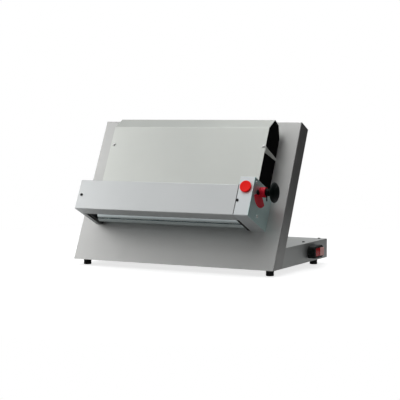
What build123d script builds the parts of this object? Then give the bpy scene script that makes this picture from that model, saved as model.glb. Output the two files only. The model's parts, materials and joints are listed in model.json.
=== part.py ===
"""Table-top dough sheeter: a leaning panel on a flat base carries one pair of rollers.

+X is to the machine's right, the front faces -Y, +Z is up. The origin lies on the
table under the middle of the base. On the leaning panel, places are given by two
distances: up the slope from the panel's front foot, and out from its front face.
"""
from build123d import *
import math
import os

os.makedirs("parts", exist_ok=True)

# ---------------------------------------------------------------- driving dimensions, mm
machine_width = 690.0
base_depth = 413.0
base_height = 59.2
base_lip = 32.0
foot_height = 19.3
foot_diameter = 24.0
foot_stud_diameter = 6.0
foot_stud_length = 9.0
foot_inset_side = 28.0
foot_inset_front = 37.5
foot_inset_rear = 43.5
foot_chamfer = 1.5

lean_angle = 25.3
panel_length = 476.5
panel_depth = 55.0
panel_sheet = 1.5
cover_sheet = 1.2
bend_radius = 2.0
edge_radius = 3.0
vent_length = 46.0
vent_width = 5.0
vent_pitch = 14.0
vent_rows = 7
vent_columns = 3
vent_spacing = 69.0
vent_block_x = 172.5
rear_corner = 3.0

roller_diameter = 60.0
roller_length = 500.0
roller_wall = 5.0
roller_web = 10.0
journal_diameter = 15.0
shaft_diameter = 20.0
shaft_fit = 0.05
bush_diameter = 22.0
bush_flange_diameter = 28.0
bush_flange = 1.5
gap_closed = 0.7
gap_open = 4.0
shaft_overhang = 2.0
roller_middle = -15.0

head_bottom = 119.5
head_depth = 134.5
cover_height = 95.0
cover_return = 13.5
cover_flange = 45.5
cover_lip = 4.0
housing_height = 120.5
housing_width = 46.5
roller_height = 36.0
rear_roller_out = 34.3

cheek_thickness = 8.0
cheek_foot = 2.0
cheek_height = 92.0
cheek_gap = 2.5
cheek_bolt_diameter = 6.0
cheek_bolt_head = 10.0
cheek_bolt_heights = (12.0, 78.0)
cheek_bolt_bite = 14.0
cheek_bolt_head_height = 4.0
cheek_step = 24.0
cheek_relief = 21.0
cheek_lip_room = 1.0
arm_thickness = 6.0
arm_gap = 0.5
hole_clearance = 1.5
gear_module = 3.5
gear_teeth = 17
gear_width = 8.0
gear_pressure_angle = 20.0
gear_dedendum = 1.25
gear_tooth_bite = 0.5
gear_backlash = 0.6
gear_lead = 0.75
gear_gap = 0.8
end_gap = 1.0
end_lip = 14.0
end_flange = 16.0
seam_offset = 3.5
seam_gap = 1.0

pivot_height = 82.0
pivot_out = 108.0
pivot_diameter = 10.0
pivot_boss = 18.0
pivot_head = 2.0
bearing_boss = 32.0
tie_height = 70.0
tie_out = 120.0
tie_diameter = 10.0
tie_boss = 16.0
tail_elbow_out = 20.0
tail_elbow_radius = 4.0
scraper_rod_height = 8.0
scraper_rod_out = 117.0
scraper_rod_diameter = 6.0
scraper_boss = 12.0
blade_thickness = 1.5
blade_tip_height = 5.4
blade_tip_lead = 6.0
rear_blade_foot = (1.8, 24.0)
rear_blade_tip = (5.2, 40.0)
blade_ear = 9.0
guide_top = 110.0
guide_bend = 93.0
guide_foot = (59.5, 58.0)
front_guide = ((88.0, 131.5), (91.5, 127.0), (69.0, 88.0))

knob_height = 94.0
knob_out = 80.0
knob_shaft_diameter = 12.0
knob_bush_diameter = 16.0
knob_bush_wall = 3.0
side_bush_seat = 3.0
knob_diameter = 60.0
knob_hub_diameter = 22.0
knob_disc_start = 36.0
knob_flare = 4.0
knob_rim = 8.0
knob_reach = 54.0
knob_bore_depth = 30.0
scale_radius = 46.0
scale_middle_angle = 178.0
scale_spread_angle = 112.0
scale_thickness = 1.0
scale_collar_diameter = 30.0
scale_collar_length = 17.0
pointer_thickness = 1.2
pointer_length = 26.0
pointer_angle = 205.0
pointer_width = 6.0
pointer_gap = 0.3
cam_radius = 10.6
cam_turn = 80.0
cam_step = 20
cam_clearance = 0.35
tail_nose_radius = 3.0
tail_rise = 1.5
spring_thickness = 0.8
spring_width = 5.0
spring_foot = 14.0
spring_run = 16.0

motor_up = 333.5
motor_out = 22.0
motor_diameter = 110.0
motor_length = 150.0
gearbox_length = 80.0
gearbox_height = 96.0
gearbox_depth = 88.0
gearbox_boss_diameter = 34.0
gearbox_corner = 12.0
boss_reach = 5.0
fan_cowl_length = 37.5
fan_cowl_diameter = 100.0
terminal_box = (60.0, 50.0, 16.0)
window_margin = 5.0
bracket_plate = 4.0
bracket_foot = 12.0
bracket_height = 120.0
bracket_reach = 60.0
bracket_room = 1.0
output_diameter = 14.0
output_bore_depth = 12.0
output_seat = 10.0
output_overhang = 1.0
roller_pulley_diameter = 48.0
motor_pulley_diameter = 32.0
pulley_width = 14.0
pulley_gap = 4.0
belt_width = 9.0
belt_height = 6.0
belt_clearance = 0.35
belt_slot_margin = 4.0

hood_out = 83.75
hood_bend_up = 418.5
hood_peak_up = 458.0
hood_peak_out = 54.5
hood_rear_up = 454.0
hood_rear_out = 24.0
hood_bottom = 105.0
hood_foot = 12.0
cover_gap = 0.5
hood_inset_left = 41.0
hood_inset_right = 12.3
hood_cheek = 2.0
hood_screw_up = 358.5
hood_screw_inset_left = 11.0
hood_screw_inset_right = 7.0
lug_thickness = 2.0
hood_lug_width = 13.0
hood_lug_height = 20.0
hood_tab_tail_height = 8.0
hood_tab_tail_drop = 4.0
hood_tab_height = 20.0

stop_inset = 23.0
stop_height = 88.0
stop_diameter = 35.5
stop_cap = 3.5
stop_travel = 2.0
stop_collar_diameter = 32.0
stop_collar_thickness = 0.8
stop_stem_diameter = 12.0
stop_block_size = 24.0
stop_block_depth = 38.0
stop_block_bore = 13.0
stop_block_bore_depth = 26.0
stop_stem_reach = 20.0
stop_cap_edge = 1.0

switch_width = 71.0
switch_height = 39.0
switch_reach = 25.0
switch_corner = 14.0
switch_from_rear = 124.5
switch_above_base = 30.2
switch_body_width = 60.0
switch_body_height = 34.0
switch_body_depth = 25.0
rocker_width = 52.0
rocker_height = 25.0
rocker_angle = 12.0
rocker_pin_diameter = 4.0
rocker_pin_reach = 3.0
rocker_clearance = 0.8
recess_depth = 14.0
rocker_crown = 4.5
rocker_skirt = 4.5
rocker_axis_depth = 4.0

gland_inset = 95.0
gland_above_base = 29.2
gland_nut = 24.0
gland_thread = 16.0
gland_bore = 8.0
gland_inner_nut = 4.0
gland_outer_nut = 5.0
gland_dome = 10.0
gland_dome_diameter = 18.0
control_box_size = (120.0, 80.0, 32.0)
control_box_inset = (155.0, 144.5)

screw_diameter = 5.0
screw_head = 9.0
screw_head_height = 2.6
screw_socket = 3.0
screw_grip = 3.0
screw_edge = 1.0
cover_screw_inset = 12.0
cover_screw_height = 46.0
housing_screw_inset = 3.6
base_screw_side = 22.0
base_screw_rear = 12.0
base_screw_pitch = 127.0
side_screws = ((20.0, 75.0), (108.0, 16.0), (108.0, 120.0))

# ---------------------------------------------------------------- worked-out places
lean = math.radians(lean_angle)
up_way = Vector(0, math.sin(lean), math.cos(lean))
out_way = Vector(0, -math.cos(lean), math.sin(lean))
panel_foot = Vector(0, -base_depth / 2, foot_height)
base_top = foot_height + base_height
half_width = machine_width / 2
rear_y = base_depth / 2
panel_base_up = panel_depth * math.tan(lean)
above_base_up = base_height / math.cos(lean) + panel_base_up

roller_radius = roller_diameter / 2
journal_hole = journal_diameter + 2 * shaft_fit
front_roller_out = rear_roller_out + roller_diameter + gap_closed
roller_up = head_bottom + roller_height
rear_axis = (roller_up, rear_roller_out)
front_axis = (roller_up, front_roller_out)
pivot_axis = (head_bottom + pivot_height, pivot_out)
tie_axis = (head_bottom + tie_height, tie_out)
scraper_axis = (head_bottom + scraper_rod_height, scraper_rod_out)
knob_axis = (head_bottom + knob_height, knob_out)
motor_axis = (motor_up, motor_out)
swing = (gap_open - gap_closed) / (pivot_height - roller_height)
cam_fall = (pivot_out - knob_out) * swing

# stations along X, from the rollers outward
roller_left = roller_middle - roller_length / 2
roller_right = roller_middle + roller_length / 2
left_cheek_in = roller_left - cheek_gap
left_cheek_out = left_cheek_in - cheek_thickness
left_arm_out = left_cheek_out - arm_gap - arm_thickness
gear_left = left_arm_out - gear_gap - gear_width
head_left = gear_left - end_gap - cover_sheet
right_cheek_in = roller_right + cheek_gap
right_cheek_out = right_cheek_in + cheek_thickness
seam_x = right_cheek_out + seam_offset
right_arm_in = seam_x + panel_sheet + arm_gap
right_arm_out = right_arm_in + arm_thickness
pulley_left = right_arm_out + pulley_gap
pulley_right = pulley_left + pulley_width
head_right = seam_x + housing_width
side_plate_in = head_right - panel_sheet
hood_left = head_left + hood_inset_left
hood_right = head_right - hood_inset_right
gearbox_right = pulley_left - bracket_foot - bracket_plate - bracket_room
gearbox_left = gearbox_right - gearbox_length
motor_left = gearbox_left - motor_length
inner_front = head_depth - cover_sheet
housing_front = head_depth - panel_sheet
under_flange = head_depth - cover_flange - seam_gap
hood_inner = hood_out - cover_sheet
switch_y = rear_y - switch_from_rear
switch_z = foot_height + switch_above_base
gland_x = gland_inset - half_width
switch_face = half_width + switch_reach
rocker_axis_x = switch_face - rocker_axis_depth


def facing(out):
    """Plane parallel to the panel's face: sketch (across, up), extruded outward."""
    return Plane(origin=panel_foot + out_way * out, x_dir=(1, 0, 0), z_dir=out_way)


def across(x):
    """Plane square to the rollers at this X: sketch (up, out), extruded toward +X."""
    return Plane(origin=panel_foot + Vector(x, 0, 0), x_dir=up_way, z_dir=(1, 0, 0))


def turning(centre):
    """Plane through a shaft's axis along X: sketch (X, radius), turned about its X axis."""
    place = panel_foot + up_way * centre[0] + out_way * centre[1]
    return Plane(origin=place, x_dir=(1, 0, 0), z_dir=-up_way)


def side_view(x):
    """Upright plane at this X: sketch (Y, Z), extruded toward +X."""
    return Plane(origin=(x, 0, 0), x_dir=(0, 1, 0), z_dir=(1, 0, 0))


def head(height, out):
    """A place on the roller head, its height counted from the head's underside."""
    return (head_bottom + height, out)


def behind_panel(z):
    """Y of the panel's rear face at this height."""
    return (z - foot_height) * math.tan(lean) + panel_depth / math.cos(lean) - rear_y


def swung(place, share=0.5):
    """Where a point of the swing arms lies after this share of their swing."""
    up = place[0] - pivot_axis[0]
    out = place[1] - pivot_axis[1]
    return (place[0] + out * swing * share, place[1] - up * swing * share)


def sweep_reach(place):
    """How far a point of the swing arms moves over the whole swing."""
    return math.dist(place, swung(place, 1.0))


def keep(piece, name):
    piece.part.label = name
    export_step(piece.part, f"parts/{name}.step")


def stepped_bar(x, centre, steps):
    """Round bar along X from x, made of (length, diameter) steps."""
    with BuildPart() as bar:
        for length, diameter in steps:
            with BuildSketch(across(x)):
                with Locations(centre):
                    Circle(diameter / 2)
            extrude(amount=length)
            x += length
    return bar


def folded_sheet(x, width, points, thickness, side):
    """Sheet bent along an (up, out) outline, its thickness laid to one side of it."""
    with BuildPart() as sheet:
        with BuildSketch(across(x)):
            with BuildLine():
                bend = FilletPolyline(*points, radius=bend_radius)
                offset(bend, amount=thickness, side=side)
            make_face()
        extrude(amount=width)
    return sheet


def round_holes(plane, places, diameter, depth):
    """Round holes cut into the part in hand, from the plane down by depth."""
    with BuildSketch(plane) as holes:
        with Locations(*places):
            Circle(diameter / 2)
    extrude(holes.sketch, amount=-depth, mode=Mode.SUBTRACT)


# ---------------------------------------------------------------- leaning panel
cheek_bolt_places = [
    ((inner + outer) / 2, head_bottom + height)
    for inner, outer in ((left_cheek_in, left_cheek_out), (right_cheek_in, right_cheek_out))
    for height in cheek_bolt_heights
]
foot_x = half_width - foot_inset_side
front_foot_y = -rear_y + foot_inset_front
rear_foot_y = rear_y - foot_inset_rear

with BuildPart() as panel_shell:
    with BuildSketch(across(-half_width)):
        with BuildLine():
            Polyline(
                (0, 0),
                (panel_length, 0),
                (panel_length, -panel_depth),
                (panel_base_up, -panel_depth),
                close=True,
            )
        make_face()
    extrude(amount=machine_width)
    face_edges = panel_shell.faces().sort_by(Axis(panel_foot, out_way))[-1].edges()
    fillet(face_edges.sort_by(Axis.Z)[1:], radius=edge_radius)
    rear_face = panel_shell.faces().sort_by(Axis(panel_foot, out_way))[0]
    offset(amount=-panel_sheet, openings=rear_face)
    with BuildSketch(facing(0)):
        with Locations(((motor_left + gearbox_right) / 2, motor_up)):
            Rectangle(
                gearbox_right - motor_left + 2 * window_margin,
                motor_diameter + 2 * window_margin,
            )
    extrude(amount=-panel_sheet, mode=Mode.SUBTRACT)
    round_holes(facing(0), cheek_bolt_places, cheek_bolt_diameter, panel_sheet)
    round_holes(
        Plane.XY.offset(foot_height + panel_sheet),
        [(-foot_x, front_foot_y), (foot_x, front_foot_y)],
        foot_stud_diameter,
        panel_sheet,
    )
keep(panel_shell, "panel_shell")

back_bottom = above_base_up
back_top = panel_length - panel_sheet
with BuildPart() as panel_back_cover:
    with BuildSketch(facing(-panel_depth)):
        with Locations((0, (back_bottom + back_top) / 2)):
            Rectangle(machine_width - 2 * panel_sheet, back_top - back_bottom)
    extrude(amount=cover_sheet)
    with BuildSketch(facing(-panel_depth)):
        for side in (-1, 1):
            with Locations((side * vent_block_x, motor_up)):
                with GridLocations(vent_spacing, vent_pitch, vent_columns, vent_rows):
                    SlotOverall(vent_length, vent_width)
    extrude(amount=cover_sheet, mode=Mode.SUBTRACT)
keep(panel_back_cover, "panel_back_cover")

# ---------------------------------------------------------------- base box and feet
base_screw_places = [
    (side * (half_width - base_screw_side), rear_y - base_screw_rear - step * base_screw_pitch)
    for side in (-1, 1)
    for step in (0, 1)
]
wall_top = base_top - panel_sheet
with BuildPart() as base_side_walls:
    for wall_x in (-half_width, half_width - panel_sheet):
        with BuildSketch(side_view(wall_x)):
            with BuildLine():
                Polyline(
                    (behind_panel(foot_height), foot_height),
                    (rear_y - panel_sheet, foot_height),
                    (rear_y - panel_sheet, wall_top),
                    (behind_panel(wall_top), wall_top),
                    close=True,
                )
            make_face()
        extrude(amount=panel_sheet)
    with BuildSketch(side_view(half_width)) as switch_hole:
        with Locations((switch_y, switch_z)):
            Rectangle(switch_body_width, switch_body_height)
    extrude(switch_hole.sketch, amount=-panel_sheet, mode=Mode.SUBTRACT)
keep(base_side_walls, "base_side_walls")

with BuildPart() as base_rear_wall:
    gland_wall = Plane(origin=(0, rear_y, 0), x_dir=(1, 0, 0), z_dir=(0, -1, 0))
    with BuildSketch(gland_wall):
        with Locations((0, (foot_height + wall_top) / 2)):
            Rectangle(machine_width, wall_top - foot_height)
        with Locations((gland_x, foot_height + gland_above_base)):
            Circle(gland_thread / 2, mode=Mode.SUBTRACT)
    extrude(amount=panel_sheet)
keep(base_rear_wall, "base_rear_wall")

with BuildPart() as base_top_frame:
    frame_front = behind_panel(wall_top)
    frame_rear = rear_y - panel_sheet
    with BuildSketch(Plane.XY.offset(wall_top)):
        with Locations((0, (frame_front + frame_rear) / 2)):
            Rectangle(machine_width - 2 * panel_sheet, frame_rear - frame_front)
        with Locations((0, -base_lip)):
            Rectangle(machine_width - 2 * base_lip, base_depth, mode=Mode.SUBTRACT)
    extrude(amount=-panel_sheet)
    round_holes(Plane.XY.offset(wall_top), base_screw_places, screw_diameter, panel_sheet)
keep(base_top_frame, "base_top_frame")

with BuildPart() as base_top_cover:
    cover_front = behind_panel(base_top)
    with BuildSketch(Plane.XY.offset(base_top - panel_sheet)):
        with Locations((0, (cover_front + rear_y) / 2)):
            Rectangle(machine_width, rear_y - cover_front)
    extrude(amount=panel_sheet)
    rear_corners = base_top_cover.edges().filter_by(Axis.Z).sort_by(Axis.Y)[-2:]
    fillet(rear_corners, radius=rear_corner)
    round_holes(Plane.XY.offset(base_top), base_screw_places, screw_diameter, panel_sheet)
keep(base_top_cover, "base_top_cover")

with BuildPart() as base_bottom_plate:
    plate_front = behind_panel(foot_height + panel_sheet)
    with BuildSketch(Plane.XY.offset(foot_height)):
        with Locations((0, (plate_front + rear_y - panel_sheet) / 2)):
            Rectangle(machine_width - 2 * panel_sheet, rear_y - panel_sheet - plate_front)
        with Locations((-foot_x, rear_foot_y), (foot_x, rear_foot_y)):
            Circle(foot_stud_diameter / 2, mode=Mode.SUBTRACT)
    extrude(amount=panel_sheet)
keep(base_bottom_plate, "base_bottom_plate")

for foot_name, x, y in (
    ("foot_front_left", -foot_x, front_foot_y),
    ("foot_front_right", foot_x, front_foot_y),
    ("foot_rear_left", -foot_x, rear_foot_y),
    ("foot_rear_right", foot_x, rear_foot_y),
):
    with BuildPart() as foot:
        with BuildSketch():
            with Locations((x, y)):
                Circle(foot_diameter / 2)
        extrude(amount=foot_height)
        fillet(foot.edges().sort_by(Axis.Z)[0], radius=foot_chamfer)
        with BuildSketch(Plane.XY.offset(foot_height)):
            with Locations((x, y)):
                Circle(foot_stud_diameter / 2)
        extrude(amount=foot_stud_length)
    keep(foot, foot_name)

with BuildPart() as cable_gland:
    gland_place = (gland_x, foot_height + gland_above_base)
    gland_start = Plane(origin=(0, rear_y - panel_sheet, 0), x_dir=(-1, 0, 0), z_dir=(0, 1, 0))
    with BuildSketch(gland_start.offset(-gland_inner_nut)):
        with Locations((-gland_place[0], gland_place[1])):
            RegularPolygon(gland_nut / 2, 6)
    extrude(amount=gland_inner_nut)
    with BuildSketch(gland_start):
        with Locations((-gland_place[0], gland_place[1])):
            Circle(gland_thread / 2)
    extrude(amount=panel_sheet)
    with BuildSketch(gland_start.offset(panel_sheet)):
        with Locations((-gland_place[0], gland_place[1])):
            RegularPolygon(gland_nut / 2, 6)
    extrude(amount=gland_outer_nut)
    with BuildSketch(gland_start.offset(panel_sheet + gland_outer_nut)):
        with Locations((-gland_place[0], gland_place[1])):
            Circle(gland_dome_diameter / 2)
    extrude(amount=gland_dome)
    fillet(cable_gland.faces().sort_by(Axis.Y)[-1].edges(), radius=edge_radius)
    round_holes(
        gland_start.offset(panel_sheet + gland_outer_nut + gland_dome),
        [(-gland_place[0], gland_place[1])],
        gland_bore,
        panel_sheet + gland_inner_nut + gland_outer_nut + gland_dome,
    )
keep(cable_gland, "cable_gland")

with BuildPart() as control_box:
    with BuildSketch(Plane.XY.offset(foot_height + panel_sheet)):
        with Locations((half_width - control_box_inset[0], rear_y - control_box_inset[1])):
            RectangleRounded(control_box_size[0], control_box_size[1], edge_radius)
    extrude(amount=control_box_size[2])
keep(control_box, "control_box")

# ---------------------------------------------------------------- main switch
with BuildPart() as switch_housing:
    with BuildSketch(side_view(half_width)):
        with Locations((switch_y, switch_z)):
            RectangleRounded(switch_width, switch_height, switch_corner)
    extrude(amount=switch_reach)
    fillet(switch_housing.faces().sort_by(Axis.X)[-1].edges(), radius=edge_radius)
    with BuildSketch(side_view(half_width)):
        with Locations((switch_y, switch_z)):
            Rectangle(switch_body_width, switch_body_height)
    extrude(amount=-switch_body_depth)
    with BuildSketch(side_view(switch_face)):
        with Locations((switch_y, switch_z)):
            Rectangle(
                rocker_width + 2 * rocker_clearance,
                rocker_height + 2 * rocker_clearance,
            )
    extrude(amount=-recess_depth, mode=Mode.SUBTRACT)
    pin_reach = rocker_clearance + rocker_pin_reach
    with BuildSketch(Plane.XY.offset(switch_z - rocker_height / 2 - pin_reach)):
        with Locations((rocker_axis_x, switch_y)):
            Circle(rocker_pin_diameter / 2 + shaft_fit)
    extrude(amount=rocker_height + 2 * pin_reach, mode=Mode.SUBTRACT)
keep(switch_housing, "switch_housing")

rocker_middle = Plane(
    origin=(rocker_axis_x, switch_y, switch_z),
    x_dir=(math.sin(math.radians(rocker_angle / 2)), math.cos(math.radians(rocker_angle / 2)), 0),
    z_dir=(0, 0, -1),
)
with BuildPart() as main_rocker:
    half_rocker = rocker_width / 2
    crown = rocker_crown + half_rocker * math.tan(math.radians(rocker_angle / 2))
    with BuildSketch(rocker_middle.offset(-rocker_height / 2)):
        with BuildLine():
            Polyline(
                (-half_rocker, crown),
                (0, rocker_crown),
                (half_rocker, crown),
                (half_rocker, crown - rocker_skirt),
                (rocker_pin_diameter, -rocker_pin_diameter),
                (-rocker_pin_diameter, -rocker_pin_diameter),
                (-half_rocker, crown - rocker_skirt),
                close=True,
            )
        make_face()
    extrude(amount=rocker_height)
    with BuildSketch(rocker_middle.offset(-rocker_height / 2 - pin_reach + shaft_fit)):
        Circle(rocker_pin_diameter / 2)
    extrude(amount=rocker_height + 2 * (pin_reach - shaft_fit))
keep(main_rocker, "main_rocker")

# ---------------------------------------------------------------- bearing plates
front_slot = journal_diameter + sweep_reach(front_axis) + 2 * hole_clearance
tie_slot = tie_diameter + sweep_reach(tie_axis) + 2 * hole_clearance


def bearing_plate(x, with_knob):
    """Plate that carries one end of the rollers; the right one also guides the knob shaft."""
    with BuildPart() as plate:
        with BuildSketch(across(x)):
            with BuildLine():
                Polyline(
                    head(cheek_foot, 0),
                    head(cheek_height, 0),
                    head(cheek_height, inner_front),
                    head(cheek_step, inner_front),
                    head(cheek_step, inner_front - cheek_relief),
                    head(cover_lip + cheek_lip_room, under_flange),
                    head(cheek_foot, under_flange),
                    close=True,
                )
            make_face()
            if with_knob:
                with Locations(knob_axis):
                    Circle(knob_bush_diameter / 2 + knob_bush_wall)
            with Locations(rear_axis):
                Circle(bush_diameter / 2, mode=Mode.SUBTRACT)
            with Locations(swung(front_axis)):
                Circle(front_slot / 2, mode=Mode.SUBTRACT)
            with Locations(swung(tie_axis)):
                Circle(tie_slot / 2, mode=Mode.SUBTRACT)
            with Locations(pivot_axis):
                Circle(pivot_diameter / 2, mode=Mode.SUBTRACT)
            if with_knob:
                with Locations(knob_axis):
                    Circle(knob_bush_diameter / 2, mode=Mode.SUBTRACT)
        extrude(amount=cheek_thickness)
        bolt_rows = [(x + cheek_thickness / 2, head_bottom + h) for h in cheek_bolt_heights]
        round_holes(facing(0), bolt_rows, cheek_bolt_diameter, -cheek_bolt_bite)
    return plate


left_cheek = bearing_plate(left_cheek_out, False)
keep(left_cheek, "left_cheek")
right_cheek = bearing_plate(right_cheek_in, True)
keep(right_cheek, "right_cheek")

with BuildPart() as cheek_bolts:
    with BuildSketch(facing(-panel_sheet)):
        with Locations(*cheek_bolt_places):
            Circle(cheek_bolt_diameter / 2)
    extrude(amount=panel_sheet + cheek_bolt_bite)
    with BuildSketch(facing(-panel_sheet)):
        with Locations(*cheek_bolt_places):
            RegularPolygon(cheek_bolt_head / 2, 6)
    extrude(amount=-cheek_bolt_head_height)
keep(cheek_bolts, "cheek_bolts")

pin_length = pivot_head + arm_thickness + arm_gap + cheek_thickness
with BuildPart() as pivot_pins:
    left_pin = stepped_bar(
        left_arm_out - pivot_head,
        pivot_axis,
        ((pivot_head, pivot_diameter + 2 * pivot_head), (pin_length - pivot_head, pivot_diameter)),
    )
    right_pin = stepped_bar(
        right_cheek_in,
        pivot_axis,
        (
            (right_arm_out - right_cheek_in, pivot_diameter),
            (pivot_head, pivot_diameter + 2 * pivot_head),
        ),
    )
    add([left_pin.part, right_pin.part])
keep(pivot_pins, "pivot_pins")


def bush(x, centre, length, bore, outside, flange_diameter, flange_first):
    """Plain bush along X with an optional flange at its first or last end."""
    body = (length, outside)
    flange = (bush_flange, flange_diameter)
    steps = (flange, body) if flange_first else (body, flange)
    start = x - bush_flange if flange_first else x
    with BuildPart() as ring:
        add(stepped_bar(start, centre, steps).part)
        round_holes(
            across(start + length + bush_flange), [centre], bore, length + bush_flange
        )
    return ring


with BuildPart() as rear_roller_bushes:
    left_bush = bush(
        left_cheek_out, rear_axis, cheek_thickness, journal_hole, bush_diameter,
        bush_flange_diameter, False,
    )
    right_bush = bush(
        right_cheek_in, rear_axis, cheek_thickness, journal_hole, bush_diameter,
        bush_flange_diameter, True,
    )
    add([left_bush.part, right_bush.part])
keep(rear_roller_bushes, "rear_roller_bushes")

# ---------------------------------------------------------------- rollers and timing gears


def roller_sleeve(centre):
    """Tube with a web near each end that sits on its shaft."""
    with BuildPart() as sleeve:
        with BuildSketch(across(roller_left)):
            with Locations(centre):
                Circle(roller_radius)
                Circle(shaft_diameter / 2, mode=Mode.SUBTRACT)
        extrude(amount=roller_length)
        with BuildSketch(across(roller_left + roller_web)):
            with Locations(centre):
                Circle(roller_radius - roller_wall)
                Circle(shaft_diameter / 2, mode=Mode.SUBTRACT)
        extrude(amount=roller_length - 2 * roller_web, mode=Mode.SUBTRACT)
    return sleeve


def roller_shaft(centre, right_end):
    """Shaft from the gear at the left to its last station at the right."""
    return stepped_bar(
        gear_left,
        centre,
        (
            (roller_left - gear_left, journal_diameter),
            (roller_length, shaft_diameter),
            (right_end - roller_right, journal_diameter),
        ),
    )


def spur_gear(centre, first_tooth):
    """Involute gear on the left shaft ends; first_tooth is an angle from up toward out."""
    pitch_radius = gear_module * gear_teeth / 2
    pressure = math.radians(gear_pressure_angle)
    base_radius = pitch_radius * math.cos(pressure)
    tip_radius = pitch_radius + gear_module
    root_radius = pitch_radius - gear_dedendum * gear_module
    half_tooth = math.pi / (2 * gear_teeth) - gear_backlash / (2 * pitch_radius)

    def flank(radius, side):
        turn = math.acos(base_radius / radius)
        spread = half_tooth + (math.tan(pressure) - pressure) - (math.tan(turn) - turn)
        return (radius * math.cos(side * spread), radius * math.sin(side * spread))

    radii = [base_radius + (tip_radius - base_radius) * step / 4 for step in range(5)]
    foot_spread = half_tooth + math.tan(pressure) - pressure
    buried = root_radius - gear_tooth_bite
    foot = [
        (buried * math.cos(side * foot_spread), buried * math.sin(side * foot_spread))
        for side in (1, -1)
    ]
    with BuildSketch() as tooth:
        with BuildLine():
            Line(foot[0], flank(base_radius, 1))
            Spline(*[flank(radius, 1) for radius in radii])
            ThreePointArc(flank(tip_radius, 1), (tip_radius, 0), flank(tip_radius, -1))
            Spline(*[flank(radius, -1) for radius in reversed(radii)])
            Line(flank(base_radius, -1), foot[1])
            Line(foot[1], foot[0])
        make_face()
    with BuildPart() as gear:
        with BuildSketch(across(gear_left)):
            with Locations(centre):
                Circle(root_radius)
                with PolarLocations(0, gear_teeth, start_angle=first_tooth):
                    add(tooth.sketch)
            with Locations(centre):
                Circle(journal_diameter / 2, mode=Mode.SUBTRACT)
        extrude(amount=gear_width)
    return gear


# the swing turns the front gear, so it starts a little ahead and stays in mesh when open
mesh_turn = math.degrees(2 * gear_lead / (front_roller_out - rear_roller_out))
for name, centre, right_end, tooth_angle in (
    ("rear", rear_axis, pulley_right + shaft_overhang, 90),
    ("front", front_axis, right_arm_out + shaft_overhang, -90 + 180 / gear_teeth + mesh_turn),
):
    keep(roller_sleeve(centre), f"{name}_roller_sleeve")
    keep(roller_shaft(centre, right_end), f"{name}_roller_shaft")
    keep(spur_gear(centre, tooth_angle), f"{name}_roller_gear")

# ---------------------------------------------------------------- swing arms of the front roller
nose_place = (
    knob_axis[0] + cam_radius + cam_clearance + tail_nose_radius,
    knob_axis[1],
)
elbow_place = (nose_place[0] + tail_rise, knob_axis[1] + tail_elbow_out)


def swing_arm(x, with_tail):
    """Plate hung on its pivot pin; the right one has a tail that rests over the cam."""
    with BuildPart() as arm:
        with BuildSketch(across(x)):
            for boss, size in (
                (pivot_axis, pivot_boss),
                (front_axis, bearing_boss),
                (tie_axis, tie_boss),
                (scraper_axis, scraper_boss),
            ):
                with Locations(boss):
                    Circle(size / 2)
            make_hull()
            for bore, size in (
                (pivot_axis, pivot_diameter + 2 * shaft_fit),
                (front_axis, bush_diameter),
                (tie_axis, tie_diameter),
                (scraper_axis, scraper_rod_diameter),
            ):
                with Locations(bore):
                    Circle(size / 2, mode=Mode.SUBTRACT)
        extrude(amount=arm_thickness)
        if with_tail:
            for ends in (
                ((pivot_axis, pivot_boss / 2), (elbow_place, tail_elbow_radius)),
                ((elbow_place, tail_elbow_radius), (nose_place, tail_nose_radius)),
            ):
                with BuildSketch(across(x)) as limb:
                    for boss, radius in ends:
                        with Locations(boss):
                            Circle(radius)
                    make_hull()
                extrude(limb.sketch, amount=arm_thickness)
            round_holes(
                across(x + arm_thickness), [pivot_axis], pivot_diameter + 2 * shaft_fit,
                arm_thickness,
            )
    return arm


keep(swing_arm(left_arm_out, False), "left_swing_arm")
keep(swing_arm(right_arm_in, True), "right_swing_arm")

with BuildPart() as front_roller_bushes:
    for arm_x in (left_arm_out, right_arm_in):
        with BuildSketch(across(arm_x)):
            with Locations(front_axis):
                Circle(bush_diameter / 2)
                Circle(journal_hole / 2, mode=Mode.SUBTRACT)
        extrude(amount=arm_thickness)
keep(front_roller_bushes, "front_roller_bushes")

tie_bar = stepped_bar(left_arm_out, tie_axis, ((right_arm_out - left_arm_out, tie_diameter),))
keep(tie_bar, "tie_bar")

front_blade_tip = head(blade_tip_height, front_roller_out + blade_tip_lead)
with BuildPart() as front_scraper:
    add(
        stepped_bar(
            left_arm_out, scraper_axis, ((right_arm_out - left_arm_out, scraper_rod_diameter),)
        ).part
    )
    with BuildSketch(across(roller_left)):
        with BuildLine():
            Line(scraper_axis, front_blade_tip)
        trace(line_width=blade_thickness)
    extrude(amount=roller_length)
keep(front_scraper, "front_scraper")

with BuildPart() as rear_scraper:
    blade_ends = (
        head(rear_blade_foot[0], rear_blade_foot[1]),
        head(rear_blade_tip[0], rear_blade_tip[1]),
    )
    with BuildSketch(across(left_cheek_in)):
        with BuildLine():
            Line(*blade_ends)
        trace(line_width=blade_thickness)
    extrude(amount=right_cheek_in - left_cheek_in)
    for ear_x in (left_cheek_in, right_cheek_in - cover_sheet):
        with BuildSketch(across(ear_x)):
            with BuildLine():
                Polyline(
                    blade_ends[0],
                    blade_ends[1],
                    (blade_ends[1][0] + blade_ear, blade_ends[1][1]),
                    (blade_ends[0][0] + blade_ear, blade_ends[0][1]),
                    close=True,
                )
            make_face()
        extrude(amount=cover_sheet)
keep(rear_scraper, "rear_scraper")

# ---------------------------------------------------------------- covers of the roller head


def spot(plane, place):
    """The same plane moved so that its origin is at this place of it."""
    return Plane(origin=plane.from_local_coords((*place, 0)), x_dir=plane.x_dir, z_dir=plane.z_dir)


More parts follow.
